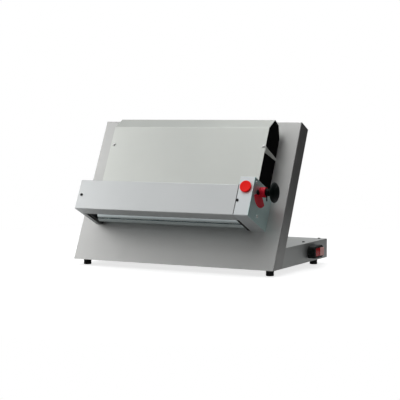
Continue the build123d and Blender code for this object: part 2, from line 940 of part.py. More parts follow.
cover_top = head_bottom + cover_height
housing_top = head_bottom + housing_height
screw_up = head_bottom + cover_screw_height
cover_screw = spot(facing(head_depth), (head_left + cover_screw_inset, screw_up))
housing_screw = spot(facing(head_depth), (seam_x + housing_screw_inset, screw_up))
hood_screws = [
    spot(facing(hood_out), (x, hood_screw_up))
    for x in (hood_left + hood_screw_inset_left, hood_right - hood_screw_inset_right)
]
stop_centre = (seam_x + stop_inset, head_bottom + stop_height)
plate_screws = [spot(across(head_right), head(*place)) for place in side_screws]
top_screws = [spot(Plane.XY.offset(base_top), place) for place in base_screw_places]

with BuildPart() as front_cover:
    add(
        folded_sheet(
            head_left,
            seam_x - seam_gap - head_left,
            (
                (cover_top, head_depth - cover_return),
                (cover_top, head_depth),
                (head_bottom, head_depth),
                (head_bottom, head_depth - cover_flange),
                (head_bottom + cover_lip, head_depth - cover_flange),
            ),
            cover_sheet,
            Side.LEFT,
        ).part
    )
    with BuildSketch(across(head_left)):
        with Locations(head((cover_sheet + cover_lip) / 2, head_depth - cover_flange)):
            Rectangle(cover_lip - cover_sheet, 2 * bend_radius)
    extrude(amount=left_arm_out - head_left, mode=Mode.SUBTRACT)
    round_holes(cover_screw, [(0, 0)], screw_diameter, cover_sheet)
keep(front_cover, "front_cover")

with BuildPart() as left_end_cover:
    end_low = head_bottom + cover_sheet
    end_high = cover_top - cover_sheet
    with BuildSketch(across(head_left)):
        with BuildLine():
            Polyline(
                (head_bottom, 0),
                (end_high, 0),
                (end_high, inner_front - bend_radius),
                (end_high - bend_radius, inner_front),
                (end_low + bend_radius, inner_front),
                (end_low, inner_front - bend_radius),
                (end_low, under_flange),
                (head_bottom, under_flange),
                close=True,
            )
        make_face()
    extrude(amount=cover_sheet)
    add(
        folded_sheet(
            head_left,
            end_flange,
            ((end_high, 0), (end_high, inner_front), (end_low + bend_radius, inner_front)),
            cover_sheet,
            Side.LEFT,
        ).part
    )
    with BuildSketch(across(head_left)):
        with Locations((head_bottom + cover_sheet / 2, under_flange / 2)):
            Rectangle(cover_sheet, under_flange)
    extrude(amount=end_lip)
    round_holes(cover_screw.offset(-cover_sheet), [(0, 0)], screw_diameter, cover_sheet)
keep(left_end_cover, "left_end_cover")

rear_infeed_guide = folded_sheet(
    left_cheek_in,
    right_cheek_in - left_cheek_in,
    (head(guide_top, hood_inner), head(guide_bend, hood_inner), head(*guide_foot)),
    cover_sheet,
    Side.LEFT,
)
keep(rear_infeed_guide, "rear_infeed_guide")

front_infeed_guide = folded_sheet(
    left_cheek_in,
    right_cheek_in - left_cheek_in,
    [head(*place) for place in front_guide],
    cover_sheet,
    Side.LEFT,
)
keep(front_infeed_guide, "front_infeed_guide")

with BuildPart() as right_housing:
    with BuildSketch(across(seam_x)):
        with Locations(((head_bottom + housing_top) / 2, head_depth / 2)):
            Rectangle(housing_height, head_depth)
    extrude(amount=side_plate_in - seam_x)
    front_face = right_housing.faces().sort_by(Axis(panel_foot, out_way))[-1]
    fillet(front_face.edges().filter_by(Axis.X), radius=bend_radius)
    back_face = right_housing.faces().sort_by(Axis(panel_foot, out_way))[0]
    open_side = right_housing.faces().sort_by(Axis.X)[-1]
    offset(amount=-panel_sheet, openings=[back_face, open_side])
    wall_bottom = head_bottom + panel_sheet
    wall_end = cover_top - 2 * cover_sheet
    with BuildSketch(across(seam_x)):
        with Locations(((wall_bottom + wall_end) / 2, housing_front / 2)):
            Rectangle(wall_end - wall_bottom, housing_front)
    extrude(amount=panel_sheet, mode=Mode.SUBTRACT)
    shaft_hole = knob_shaft_diameter + 2 * hole_clearance
    round_holes(across(seam_x + panel_sheet), [knob_axis], shaft_hole, panel_sheet)
    slot_low = motor_out - motor_pulley_diameter / 2 - belt_slot_margin
    slot_high = rear_roller_out + roller_pulley_diameter / 2 + belt_slot_margin
    with BuildSketch(across(pulley_left)):
        with Locations((housing_top - panel_sheet / 2, (slot_low + slot_high) / 2)):
            Rectangle(panel_sheet, slot_high - slot_low)
    extrude(amount=pulley_width, mode=Mode.SUBTRACT)
    round_holes(housing_screw, [(0, 0)], screw_diameter, panel_sheet)
    round_holes(facing(head_depth), [stop_centre], stop_block_bore, panel_sheet)
keep(right_housing, "right_housing")

with BuildPart() as right_side_plate:
    with BuildSketch(across(side_plate_in)):
        with Locations(((head_bottom + housing_top) / 2, head_depth / 2)):
            Rectangle(housing_height, head_depth)
    extrude(amount=panel_sheet)
    plate_front = right_side_plate.edges().filter_by(Axis.X).sort_by(Axis(panel_foot, out_way))
    fillet(plate_front[-2:], radius=bend_radius)
    round_holes(across(head_right), [knob_axis], knob_bush_diameter, panel_sheet)
    for plane in plate_screws:
        round_holes(plane, [(0, 0)], screw_diameter, panel_sheet)
keep(right_side_plate, "right_side_plate")

# ---------------------------------------------------------------- hood over the dough slide
hood_outline = (
    (hood_bend_up, hood_out),
    (hood_peak_up, hood_peak_out),
    (hood_rear_up, hood_rear_out),
    (hood_bend_up, 0),
)
hood_line = (head(hood_bottom, hood_out), *hood_outline, (hood_bend_up - hood_foot, 0))
with BuildPart() as hood_sheet:
    add(
        folded_sheet(
            hood_left,
            hood_right - hood_left,
            hood_line,
            cover_sheet,
            Side.RIGHT,
        ).part
    )
    cut_top = housing_top + cover_gap
    cut_bottom = head_bottom + hood_bottom
    with BuildSketch(across(seam_x - seam_gap)):
        with Locations(((cut_bottom + cut_top) / 2, hood_out)):
            Rectangle(cut_top - cut_bottom, 2 * bend_radius)
    extrude(amount=housing_width, mode=Mode.SUBTRACT)
    for plane in hood_screws:
        round_holes(plane, [(0, 0)], screw_diameter, cover_sheet)
keep(hood_sheet, "hood_sheet")


def hood_end(x, low, lug_x, notch):
    """Moulded end piece inside the bent sheet, with a lug behind the sheet for its screw."""
    clear = hood_inner - cover_sheet - cover_gap
    corner = (
        ((low, clear), (head_bottom + guide_top + cover_gap, clear),
         (head_bottom + guide_top + cover_gap, hood_out))
        if notch
        else ((low, hood_out),)
    )
    with BuildPart() as end:
        with BuildSketch(across(x)):
            with BuildLine():
                Polyline((low, 0), *corner, *hood_outline, close=True)
            make_face()
            with BuildLine():
                bend = Polyline(*hood_line)
                offset(bend, amount=cover_sheet, side=Side.RIGHT, kind=Kind.INTERSECTION)
            make_face(mode=Mode.SUBTRACT)
        extrude(amount=hood_cheek)
        add(hood_sheet.part, mode=Mode.SUBTRACT)
        with BuildSketch(across(lug_x)):
            with Locations((hood_screw_up, hood_inner - lug_thickness / 2)):
                Rectangle(hood_lug_height, lug_thickness)
        extrude(amount=hood_lug_width)
        for plane in hood_screws:
            round_holes(plane.offset(-cover_sheet), [(0, 0)], screw_diameter, lug_thickness)
    return end


hood_cheek_left = hood_end(hood_left, cover_top + cover_gap, hood_left + hood_cheek, True)
keep(hood_cheek_left, "hood_cheek_left")
right_lug = hood_right - hood_cheek - hood_lug_width
hood_cheek_right = hood_end(hood_right - hood_cheek, housing_top + cover_gap, right_lug, False)
keep(hood_cheek_right, "hood_cheek_right")

with BuildPart() as hood_tabs:
    for tab_x in (hood_left - cover_sheet, hood_right):
        with BuildSketch(across(tab_x)):
            with BuildLine():
                Polyline(
                    (hood_screw_up, hood_inner),
                    (hood_screw_up - hood_tab_tail_drop, cover_gap),
                    (hood_screw_up - hood_tab_tail_drop - hood_tab_tail_height, cover_gap),
                    (hood_screw_up - hood_tab_height, hood_inner),
                    close=True,
                )
            make_face()
        extrude(amount=cover_sheet)
keep(hood_tabs, "hood_tabs")

# ---------------------------------------------------------------- drive
roller_pulley_radius = roller_pulley_diameter / 2
motor_pulley_radius = motor_pulley_diameter / 2
groove_depth = belt_height + belt_clearance
groove_width = belt_width + 2 * belt_clearance
groove_x = pulley_left + (pulley_width - groove_width) / 2


def grooved_pulley(centre, radius, bore):
    """Pulley whose groove holds the belt with a little room on every side."""
    with BuildPart() as pulley:
        with BuildSketch(across(pulley_left)):
            with Locations(centre):
                Circle(radius)
        extrude(amount=pulley_width)
        with BuildSketch(across(groove_x)):
            with Locations(centre):
                Circle(radius)
                Circle(radius - groove_depth, mode=Mode.SUBTRACT)
        extrude(amount=groove_width, mode=Mode.SUBTRACT)
        round_holes(across(pulley_right), [centre], bore, pulley_width)
    return pulley


keep(grooved_pulley(rear_axis, roller_pulley_radius, journal_diameter), "roller_pulley")
keep(grooved_pulley(motor_axis, motor_pulley_radius, output_diameter), "motor_pulley")

with BuildPart() as drive_belt:
    for shrink, mode in ((0, Mode.ADD), (belt_height, Mode.SUBTRACT)):
        with BuildSketch(across(groove_x + belt_clearance)) as loop:
            with Locations(rear_axis):
                Circle(roller_pulley_radius - shrink)
            with Locations(motor_axis):
                Circle(motor_pulley_radius - shrink)
            make_hull()
        extrude(loop.sketch, amount=belt_width, mode=mode)
keep(drive_belt, "drive_belt")

with BuildPart() as motor:
    add(
        stepped_bar(
            motor_left,
            motor_axis,
            (
                (fan_cowl_length, fan_cowl_diameter),
                (motor_length - fan_cowl_length, motor_diameter),
            ),
        ).part
    )
    with BuildSketch(across(motor_left + motor_length / 2 - terminal_box[0] / 2)):
        with Locations((motor_up, motor_out - motor_diameter / 2)):
            Rectangle(terminal_box[1], terminal_box[2] * 2)
    extrude(amount=terminal_box[0])
keep(motor, "motor")

with BuildPart() as gearbox:
    with BuildSketch(across(gearbox_left)):
        with Locations(motor_axis):
            RectangleRounded(gearbox_height, gearbox_depth, gearbox_corner)
    extrude(amount=gearbox_length)
    with BuildSketch(across(gearbox_right)):
        with Locations(motor_axis):
            Circle(gearbox_boss_diameter / 2)
    extrude(amount=boss_reach)
    round_holes(
        across(gearbox_right + boss_reach),
        [motor_axis],
        output_diameter + 2 * shaft_fit,
        boss_reach + output_bore_depth,
    )
keep(gearbox, "gearbox")

with BuildPart() as motor_bracket:
    with BuildSketch(across(gearbox_right)):
        with Locations((motor_up, bracket_reach / 2)):
            Rectangle(bracket_height, bracket_reach)
        with Locations(motor_axis):
            Circle(gearbox_boss_diameter / 2, mode=Mode.SUBTRACT)
    extrude(amount=bracket_plate)
    with BuildSketch(across(gearbox_right)):
        with Locations((motor_up, bracket_plate / 2)):
            Rectangle(bracket_height, bracket_plate)
    extrude(amount=bracket_plate + bracket_foot)
keep(motor_bracket, "motor_bracket")

output_start = gearbox_right - output_seat
output_length = pulley_right + output_overhang - output_start
output_shaft = stepped_bar(output_start, motor_axis, ((output_length, output_diameter),))
keep(output_shaft, "output_shaft")

# ---------------------------------------------------------------- gap setting
collar_x = head_right + scale_thickness
pointer_x = collar_x + scale_collar_length + pointer_gap
knob_start = pointer_x + pointer_thickness
knob_end = head_right + knob_reach
shaft_end = knob_start + knob_bore_depth
knob_shaft = stepped_bar(
    right_cheek_in, knob_axis, ((shaft_end - right_cheek_in, knob_shaft_diameter),)
)
keep(knob_shaft, "knob_shaft")

with BuildPart() as knob_bushes:
    for bush_x, bush_length in (
        (right_cheek_in, cheek_thickness),
        (side_plate_in - side_bush_seat, side_bush_seat + panel_sheet),
    ):
        with BuildSketch(across(bush_x)):
            with Locations(knob_axis):
                Circle(knob_bush_diameter / 2)
                Circle(knob_shaft_diameter / 2 + shaft_fit, mode=Mode.SUBTRACT)
        extrude(amount=bush_length)
keep(knob_bushes, "knob_bushes")


def cam_point(turn):
    """Rim of the cam at this angle from its highest point: it falls evenly, then stays level."""
    radius = cam_radius - cam_fall * min(abs(turn) / cam_turn, 1)
    return (radius * math.cos(math.radians(turn)), radius * math.sin(math.radians(turn)))


with BuildPart() as gap_cam:
    with BuildSketch(spot(across(right_arm_in), knob_axis)):
        with BuildLine():
            Spline(*[cam_point(turn) for turn in range(0, 181, cam_step)])
            Spline(*[cam_point(turn) for turn in range(-180, 1, cam_step)])
        make_face()
        Circle(knob_shaft_diameter / 2, mode=Mode.SUBTRACT)
    extrude(amount=arm_thickness)
keep(gap_cam, "gap_cam")

with BuildPart() as scale_plate:
    with BuildSketch(spot(across(head_right), knob_axis)):
        with BuildLine():
            first = scale_middle_angle - scale_spread_angle / 2
            rim = CenterArc((0, 0), scale_radius, first, scale_spread_angle)
            Polyline(rim @ 1, (0, 0), rim @ 0)
        make_face()
        Circle(scale_collar_diameter / 2)
        Circle(knob_bush_diameter / 2, mode=Mode.SUBTRACT)
    extrude(amount=scale_thickness)
    with BuildSketch(spot(across(collar_x), knob_axis)):
        Circle(scale_collar_diameter / 2)
        Circle(knob_bush_diameter / 2, mode=Mode.SUBTRACT)
    extrude(amount=scale_collar_length)
keep(scale_plate, "scale_plate")

with BuildPart() as knob_pointer:
    with BuildSketch(spot(across(pointer_x), knob_axis)):
        Circle(knob_hub_diameter / 2)
        Rectangle(
            pointer_length, pointer_width, rotation=pointer_angle, align=(Align.MIN, Align.CENTER)
        )
        Circle(knob_shaft_diameter / 2, mode=Mode.SUBTRACT)
    extrude(amount=pointer_thickness)
keep(knob_pointer, "knob_pointer")

knob_plane = turning(knob_axis)
with BuildPart() as gap_knob:
    disc_x = head_right + knob_disc_start
    rim_x = disc_x + knob_flare
    hub_radius = knob_hub_diameter / 2
    knob_radius = knob_diameter / 2
    dome_rise = knob_end - rim_x - knob_rim
    dome_radius = (knob_radius**2 + dome_rise**2) / (2 * dome_rise)
    half_turn = math.asin(knob_radius / dome_radius) / 2
    with BuildSketch(knob_plane):
        with BuildLine():
            Polyline(
                (shaft_end, 0),
                (shaft_end, knob_shaft_diameter / 2),
                (knob_start, knob_shaft_diameter / 2),
                (knob_start, hub_radius),
                (disc_x, hub_radius),
                (rim_x, knob_radius),
                (rim_x + knob_rim, knob_radius),
            )
            ThreePointArc(
                (rim_x + knob_rim, knob_radius),
                (
                    knob_end - dome_radius * (1 - math.cos(half_turn)),
                    dome_radius * math.sin(half_turn),
                ),
                (knob_end, 0),
            )
            Line((knob_end, 0), (shaft_end, 0))
        make_face()
    revolve(axis=Axis(knob_plane.origin, (1, 0, 0)))
keep(gap_knob, "gap_knob")

nose_top = (nose_place[0] + tail_nose_radius + cam_clearance, nose_place[1])
spring_bed = housing_top - panel_sheet - spring_thickness
with BuildPart() as tail_spring:
    add(
        folded_sheet(
            right_arm_in + (arm_thickness - spring_width) / 2,
            spring_width,
            (
                (spring_bed, nose_top[1] - spring_foot - spring_run),
                (spring_bed, nose_top[1] - spring_run),
                nose_top,
            ),
            spring_thickness,
            Side.RIGHT,
        ).part
    )
keep(tail_spring, "tail_spring")

# ---------------------------------------------------------------- stop button
cap_out = head_depth + stop_collar_thickness + stop_travel + cover_gap
with BuildPart() as stop_button:
    with BuildSketch(spot(facing(cap_out), stop_centre)):
        Circle(stop_diameter / 2)
    extrude(amount=stop_cap)
    cap_edge = stop_button.faces().sort_by(Axis(panel_foot, out_way))[-1].edges()
    fillet(cap_edge, radius=stop_cap_edge)
    with BuildSketch(spot(facing(cap_out), stop_centre)):
        Circle(stop_stem_diameter / 2)
    extrude(amount=-(cap_out - housing_front + stop_stem_reach))
keep(stop_button, "stop_button")

with BuildPart() as stop_collar:
    with BuildSketch(spot(facing(head_depth), stop_centre)):
        Circle(stop_collar_diameter / 2)
        Circle(stop_stem_diameter / 2 + shaft_fit, mode=Mode.SUBTRACT)
    extrude(amount=stop_collar_thickness)
keep(stop_collar, "stop_collar")

with BuildPart() as stop_contact_block:
    with BuildSketch(spot(facing(housing_front), stop_centre)):
        Rectangle(stop_block_size, stop_block_size)
    extrude(amount=-stop_block_depth)
    round_holes(facing(housing_front), [stop_centre], stop_block_bore, stop_block_bore_depth)
keep(stop_contact_block, "stop_contact_block")

# ---------------------------------------------------------------- cover screws


def pan_screw(plane):
    """Pan-head screw whose head rests on the plane, with a round socket in its head."""
    with BuildPart() as screw:
        with BuildSketch(plane):
            Circle(screw_head / 2)
        extrude(amount=screw_head_height)
        head_edge = screw.faces().sort_by(Axis(plane.origin, plane.z_dir))[-1].edges()
        fillet(head_edge, radius=screw_edge)
        round_holes(plane.offset(screw_head_height), [(0, 0)], screw_socket, screw_head_height / 2)
        with BuildSketch(plane):
            Circle(screw_diameter / 2)
        extrude(amount=-screw_grip)
    return screw


with BuildPart() as cover_screws:
    for plane in (cover_screw, housing_screw, *hood_screws, *plate_screws, *top_screws):
        add(pan_screw(plane).part)
keep(cover_screws, "cover_screws")
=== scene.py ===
"""Looks of the table-top dough sheeter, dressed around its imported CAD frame."""

import json
import math

import bmesh
import bpy
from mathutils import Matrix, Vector


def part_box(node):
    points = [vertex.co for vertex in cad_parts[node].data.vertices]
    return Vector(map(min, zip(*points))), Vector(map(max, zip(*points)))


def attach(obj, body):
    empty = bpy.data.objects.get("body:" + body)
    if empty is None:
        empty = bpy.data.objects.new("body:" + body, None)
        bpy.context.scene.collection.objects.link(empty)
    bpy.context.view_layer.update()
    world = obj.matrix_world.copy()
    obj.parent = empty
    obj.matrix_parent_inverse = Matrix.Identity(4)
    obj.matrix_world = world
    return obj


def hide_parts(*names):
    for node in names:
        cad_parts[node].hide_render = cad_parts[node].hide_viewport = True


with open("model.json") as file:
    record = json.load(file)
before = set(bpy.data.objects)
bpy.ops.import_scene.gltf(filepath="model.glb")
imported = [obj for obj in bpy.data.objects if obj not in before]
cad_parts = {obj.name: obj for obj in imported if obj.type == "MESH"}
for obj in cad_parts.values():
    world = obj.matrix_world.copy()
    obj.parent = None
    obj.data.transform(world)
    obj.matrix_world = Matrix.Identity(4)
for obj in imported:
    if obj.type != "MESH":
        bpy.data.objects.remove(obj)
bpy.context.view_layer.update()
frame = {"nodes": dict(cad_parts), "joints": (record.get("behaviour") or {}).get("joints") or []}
nodes = frame["nodes"]
joints = {joint["name"]: joint for joint in frame["joints"]}
collection = bpy.context.scene.collection

# ---------------------------------------------------------------- directions of the machine
# The panel leans back: up_way runs up its face and out_way stands out of it, toward the baker.
lean = math.radians(25.3)
up_way = Vector((0, math.sin(lean), math.cos(lean)))
out_way = Vector((0, -math.cos(lean), math.sin(lean)))
across_way = Vector((1, 0, 0))


# ---------------------------------------------------------------- mesh helpers
def place_of(node):
    """Middle of a CAD node's box."""
    low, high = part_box(node)
    return (low + high) / 2


def points_of(node):
    """Every point of a CAD node's mesh."""
    return [vertex.co for vertex in nodes[node].data.vertices]


def span(points, way):
    """Lowest and highest reach of these points along a direction."""
    reach = [point.dot(way) for point in points]
    return min(reach), max(reach)


def half_span(points, way):
    """Half of how far these points spread along a direction."""
    low, high = span(points, way)
    return (high - low) / 2


def solids_of(node):
    """Points of each separate solid of a CAD node, found from its mesh."""
    shape = bmesh.new()
    shape.from_mesh(nodes[node].data)
    bmesh.ops.remove_doubles(shape, verts=shape.verts, dist=1e-6)
    groups = []
    known = set()
    for start in shape.verts:
        if start in known:
            continue
        known.add(start)
        reached = [start]
        for point in reached:
            fresh = [edge.other_vert(point) for edge in point.link_edges]
            fresh = [other for other in fresh if other not in known]
            known.update(fresh)
            reached += fresh
        groups.append([point.co.copy() for point in reached])
    shape.free()
    return groups


def turned(profile, origin, axis, steps=64):
    """Closed body of revolution: profile holds (radius, distance along the axis)."""
    shape = bmesh.new()
    axis = Vector(axis).normalized()
    side = axis.orthogonal().normalized()
    points = [shape.verts.new(origin + axis * along + side * radius) for radius, along in profile]
    edges = [shape.edges.new(pair) for pair in zip(points, points[1:])]
    bmesh.ops.spin(
        shape, geom=points + edges, cent=origin, axis=axis, angle=math.tau, steps=steps,
        use_merge=True,
    )
    bmesh.ops.remove_doubles(shape, verts=shape.verts, dist=1e-6)
    bmesh.ops.recalc_face_normals(shape, faces=shape.faces)
    return shape


def drawn_out(corners, way):
    """Solid of one section: a face through these corners, drawn out by a vector."""
    shape = bmesh.new()
    face = shape.faces.new([shape.verts.new(corner) for corner in corners])
    grown = bmesh.ops.extrude_face_region(shape, geom=[face])
    moved = [item for item in grown["geom"] if isinstance(item, bmesh.types.BMVert)]
    bmesh.ops.translate(shape, vec=way, verts=moved)
    bmesh.ops.recalc_face_normals(shape, faces=shape.faces)
    return shape


def rounded(shape, width, segments=3, sharper_than=30):
    """Rounds every edge that is sharper than this angle."""
    limit = math.radians(sharper_than)
    edges = [e for e in shape.edges if len(e.link_faces) == 2 and e.calc_face_angle() > limit]
    bmesh.ops.bevel(
        shape, geom=edges, offset=width, segments=segments, profile=0.5, affect="EDGES",
        clamp_overlap=True, material=-1,
    )
    return shape


def piece(name, shape, body, finish, stands_for=()):
    """Turns a bmesh into a shown piece that rides on a body."""
    mesh = bpy.data.meshes.new(name)
    shape.to_mesh(mesh)
    shape.free()
    for face in mesh.polygons:
        face.use_smooth = True
    mesh.set_sharp_from_angle(angle=math.radians(38))
    mesh.materials.append(finish)
    made = bpy.data.objects.new(name, mesh)
    collection.objects.link(made)
    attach(made, body)
    if stands_for:
        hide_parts(*stands_for)


# ---------------------------------------------------------------- shader maths
class Field:
    """One shader socket with the usual maths on it; nodes are made as it is used."""

    def __init__(self, tree, socket):
        self.tree = tree
        self.socket = socket

    def into(self, socket):
        """Links this value to a socket."""
        self.tree.links.new(self.socket, socket)

    def node(self, kind, inputs, output=0, **settings):
        """Any node: its settings first, then the values or links of its sockets."""
        made = self.tree.nodes.new(kind)
        for name, value in settings.items():
            setattr(made, name, value)
        for name, value in inputs.items():
            if isinstance(value, Field):
                value.into(made.inputs[name])
            else:
                made.inputs[name].default_value = value
        return Field(self.tree, made.outputs[output])

    def maths(self, operation, first, second):
        return self.node("ShaderNodeMath", {0: first, 1: second}, operation=operation)

    def __add__(self, other):
        return self.maths("ADD", self, other)

    def __radd__(self, other):
        return self.maths("ADD", other, self)

    def __mul__(self, other):
        return self.maths("MULTIPLY", self, other)

    def __rmul__(self, other):
        return self.maths("MULTIPLY", other, self)

    def spread(self, low, high, new_low=0.0, new_high=1.0):
        """This value carried from low..high to new_low..new_high and held inside them."""
        ends = {"From Min": low, "From Max": high, "To Min": new_low, "To Max": new_high}
        return self.node("ShaderNodeMapRange", {"Value": self, **ends})

    def colour(self, first, second):
        """Blend of two colours, plain or painted, by this factor."""
        first, second = (end if isinstance(end, Field) else (*end, 1) for end in (first, second))
        return self.node(
            "ShaderNodeMix", {0: self, 6: first, 7: second}, output=2, data_type="RGBA",
        )

    def part(self, axis):
        """X, Y or Z of this vector."""
        return self.node("ShaderNodeSeparateXYZ", {0: self}, output="XYZ".index(axis))

    def stretched(self, scale):
        """These coordinates with a scale of their own along each axis."""
        return self.node("ShaderNodeMapping", {"Vector": self, "Scale": scale})

    def noise(self, scale, detail=2.0, roughness=0.5):
        """Cloudy noise at these coordinates, from 0 to 1."""
        inputs = {"Vector": self, "Scale": scale, "Detail": detail, "Roughness": roughness}
        return self.node("ShaderNodeTexNoise", inputs)


def given(tree, kind, output):
    """A value that a tree has by itself, such as its coordinates or its kind of ray."""
    return Field(tree, tree.nodes.new(kind).outputs[output])


# ---------------------------------------------------------------- kinds of finish
def material(name, metallic=0.0, coat=0.0, gloss=0.5):
    """A material with its shader, and the object coordinates to paint it by."""
    made = bpy.data.materials.new(name)
    made.use_nodes = True
    shader = made.node_tree.nodes["Principled BSDF"]
    shader.inputs["Metallic"].default_value = metallic
    shader.inputs["Coat Weight"].default_value = coat
    shader.inputs["Specular IOR Level"].default_value = gloss
    return made, shader, given(made.node_tree, "ShaderNodeTexCoord", "Object")


def bump(height, shader, strength, distance):
    """Fine relief from a height field, as the shader's normal."""
    inputs = {"Height": height, "Strength": strength, "Distance": distance}
    height.node("ShaderNodeBump", inputs).into(shader.inputs["Normal"])


def brushed_sheet(name, light, dark, grain):
    """Satin stainless sheet: fine lines along its grain, faint clouds and hand marks."""
    made, shader, place = material(name, metallic=1.0)
    lines = place.stretched(grain).noise(1.0, detail=3.0, roughness=0.65)
    clouds = place.noise(3.2, detail=3.0)
    marks = place.noise(14.0, detail=4.0, roughness=0.6)
    tone = clouds.spread(0.3, 0.7) * 0.55 + lines.spread(0.25, 0.75) * 0.45
    tone.colour(dark, light).into(shader.inputs["Base Color"])
    matt = lines.spread(0.2, 0.8, 0.42, 0.56) + marks.spread(0.5, 0.8, 0.0, 0.05)
    matt.into(shader.inputs["Roughness"])
    bump(lines, shader, 0.12, 0.0002)
    return made


def machined_metal(name, light, dark, roughness):
    """Turned or plated metal with a faint tool pattern and stains."""
    made, shader, place = material(name, metallic=1.0)
    rings = place.stretched((400.0, 50.0, 50.0)).noise(1.0)
    stains = place.noise(22.0, detail=4.0, roughness=0.6)
    stains.spread(0.35, 0.7).colour(light, dark).into(shader.inputs["Base Color"])
    matt = rings.spread(0.2, 0.8, roughness - 0.07, roughness + 0.07)
    matt.into(shader.inputs["Roughness"])
    bump(rings, shader, 0.1, 0.0001)
    return made


def moulded_plastic(name, colour, worn, roughness, grain=1400.0, gloss=0.5, glow=0.0):
    """Moulded plastic or paint: fine grain, slight colour drift and polished spots; glow, where given, adds
    painted light in the plastic's own colour.
    """
    made, shader, place = material(name, gloss=gloss)
    shader.inputs["Emission Color"].default_value = (*colour, 1)
    shader.inputs["Emission Strength"].default_value = glow
    drift = place.noise(18.0, detail=3.0)
    drift.spread(0.35, 0.75).colour(colour, worn).into(shader.inputs["Base Color"])
    matt = drift.spread(0.3, 0.7, roughness - 0.05, roughness + 0.06)
    matt.into(shader.inputs["Roughness"])
    bump(place.noise(grain), shader, 0.15, 0.0001)
    return made


def rocker_with_painted_highlight():
    """Glossy rocker, dark red at its front and pale pink from a line behind its pivot: the pale pink is a
    painted highlight on the raised rear half.
    """
    made, shader, place = material("rocker_red", coat=0.08, gloss=0.25)
    highlight_from = joints["main_rocker_tilt"]["pos_m"][1] + 0.005
    soft = 0.0005
    blush = place.noise(60.0, detail=3.0).spread(0.3, 0.7)
    red = blush.colour((0.42, 0.006, 0.008), (0.50, 0.010, 0.012))
    # Pale pink: painted highlight of the raised rear half.
    pale = blush.colour((0.86, 0.46, 0.44), (0.92, 0.54, 0.50))
    rear = place.part("Y").spread(highlight_from - soft, highlight_from + soft)
    rear.colour(red, pale).into(shader.inputs["Base Color"])
    (blush * 0.08 + 0.2).into(shader.inputs["Roughness"])
    return made


# ---------------------------------------------------------------- finishes of this machine
# Brushed lines are long along the direction with the small scale and fine across it.
along_x = (9.0, 900.0, 900.0)
along_slope = (900.0, 9.0, 9.0)
# Each sheet part has a base colour of its own, set lighter or darker to match how much light that part
# gets: painted light and shade on one stainless steel. The side plate's teal tint is painted shade colour.
steel_panel = brushed_sheet("satin_sheet_panel", (0.548, 0.548, 0.535), (0.487, 0.487, 0.479), along_x)
steel_base = brushed_sheet("satin_sheet_base", (0.636, 0.647, 0.636), (0.562, 0.572, 0.562), along_x)
steel_head = brushed_sheet("satin_sheet_head", (0.672, 0.682, 0.682), (0.605, 0.624, 0.624), along_x)
steel_housing = brushed_sheet("satin_sheet_housing", (0.735, 0.762, 0.77), (0.684, 0.71, 0.719), along_x)
steel_side_shade_tinted = brushed_sheet("satin_sheet_side_shade_tinted", (0.671, 0.831, 0.82), (0.594, 0.759, 0.748), along_slope)
steel_hood = brushed_sheet("satin_sheet_hood", (0.677, 0.691, 0.656), (0.606, 0.62, 0.591), along_x)
steel_roller = machined_metal("ground_roller", (0.84, 0.92, 0.93), (0.76, 0.84, 0.86), 0.17)
steel_plated = machined_metal("zinc_plated", (0.52, 0.53, 0.54), (0.40, 0.41, 0.43), 0.4)
steel_gear = machined_metal("oiled_gear", (0.34, 0.34, 0.35), (0.22, 0.22, 0.23), 0.38)
# The screw heads' plating is set lighter than zinc_plated to match how bright the heads facing the light
# look: painted light on one plated finish.
steel_screw = machined_metal("bright_screw", (0.80, 0.80, 0.79), (0.68, 0.68, 0.67), 0.36)
cast_alloy = machined_metal("milled_alloy", (0.62, 0.63, 0.64), (0.52, 0.53, 0.54), 0.38)
# Bearing cheeks set near-black to match the dark inside the head's ends.
black_alloy = machined_metal("near_black_alloy", (0.030, 0.030, 0.032), (0.045, 0.045, 0.048), 0.45)
bush_bronze = machined_metal("bush_bronze", (0.58, 0.38, 0.18), (0.42, 0.27, 0.13), 0.42)
black_screw = machined_metal("black_screw", (0.06, 0.06, 0.062), (0.03, 0.03, 0.03), 0.4)
cheek_black = moulded_plastic(
    "cheek_black", (0.001, 0.001, 0.001), (0.002, 0.002, 0.002), 0.6, gloss=0.02,
)
knob_black = moulded_plastic(
    "knob_black", (0.001, 0.004, 0.003), (0.002, 0.006, 0.005), 0.38, gloss=0.12,
)
switch_black = moulded_plastic(
    "switch_black", (0.003, 0.005, 0.004), (0.006, 0.008, 0.007), 0.42, gloss=0.25,
)
inner_black = moulded_plastic("inner_black", (0.02, 0.02, 0.02), (0.035, 0.035, 0.035), 0.5)
motor_paint = moulded_plastic("motor_paint", (0.035, 0.045, 0.055), (0.05, 0.06, 0.07), 0.4)
# The stop cap's glow is painted light: the cap holds no lamp.
stop_red = moulded_plastic(
    "stop_red", (0.97, 0.008, 0.006), (0.90, 0.007, 0.005), 0.45, gloss=0.2, glow=0.16,
)
dial_red = moulded_plastic("dial_red", (0.75, 0.012, 0.04), (0.66, 0.010, 0.03), 0.45, gloss=0.3)
foot_rubber = moulded_plastic("foot_rubber", (0.008, 0.008, 0.008), (0.014, 0.014, 0.014), 0.7, grain=900.0)
belt_rubber = moulded_plastic("belt_rubber", (0.015, 0.015, 0.015), (0.03, 0.03, 0.03), 0.75, grain=700.0)
rocker_red = rocker_with_painted_highlight()

